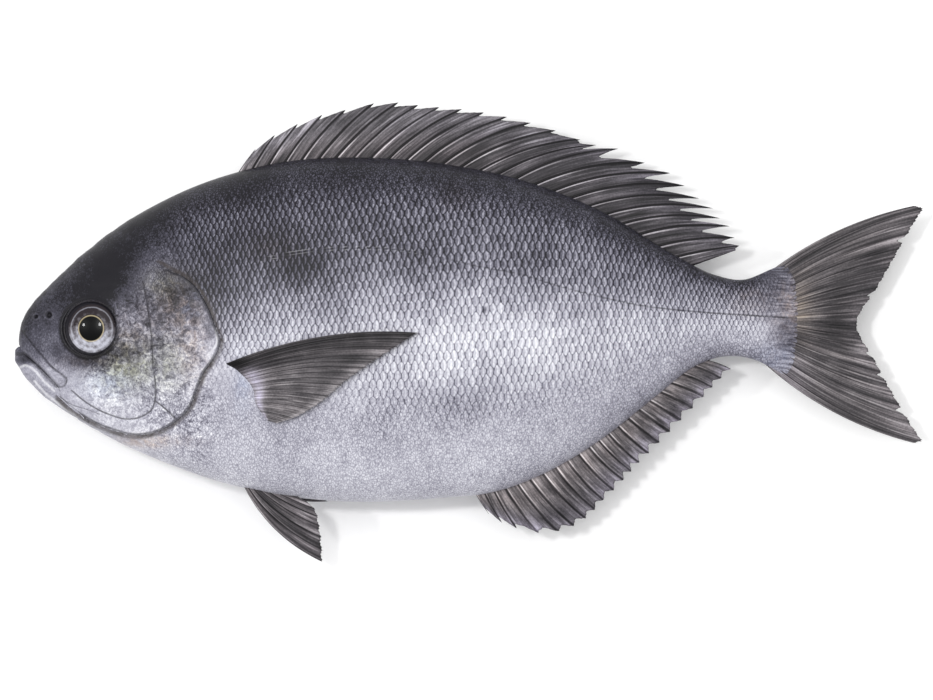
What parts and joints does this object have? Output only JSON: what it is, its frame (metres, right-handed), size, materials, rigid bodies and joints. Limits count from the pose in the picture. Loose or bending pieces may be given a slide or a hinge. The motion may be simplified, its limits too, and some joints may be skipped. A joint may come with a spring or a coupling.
{
  "type": "whole raw fish",
  "caption": "Whole raw grey fish with a deep oval body, spread fins and a forked tail, lying on its right side with the left side up.",
  "frame": {"origin": "under the middle of the fish's outline, on the surface that it lies on", "axes": "+X towards the tail, +Y towards the back fin, +Z out of the left side, which faces up"},
  "size_m": [0.4, 0.2025, 0.0636],
  "materials": {
    "fish_skin": "moist grey scaled skin, nearly black along the back and silver on the belly",
    "fish_eye": "wet and clear, with a silver iris round a black pupil"
  },
  "bodies": {
    "root": {"fish": "fish_skin", "eye_left": "fish_eye", "eye_right": "fish_eye"}
  },
  "joints": []
}
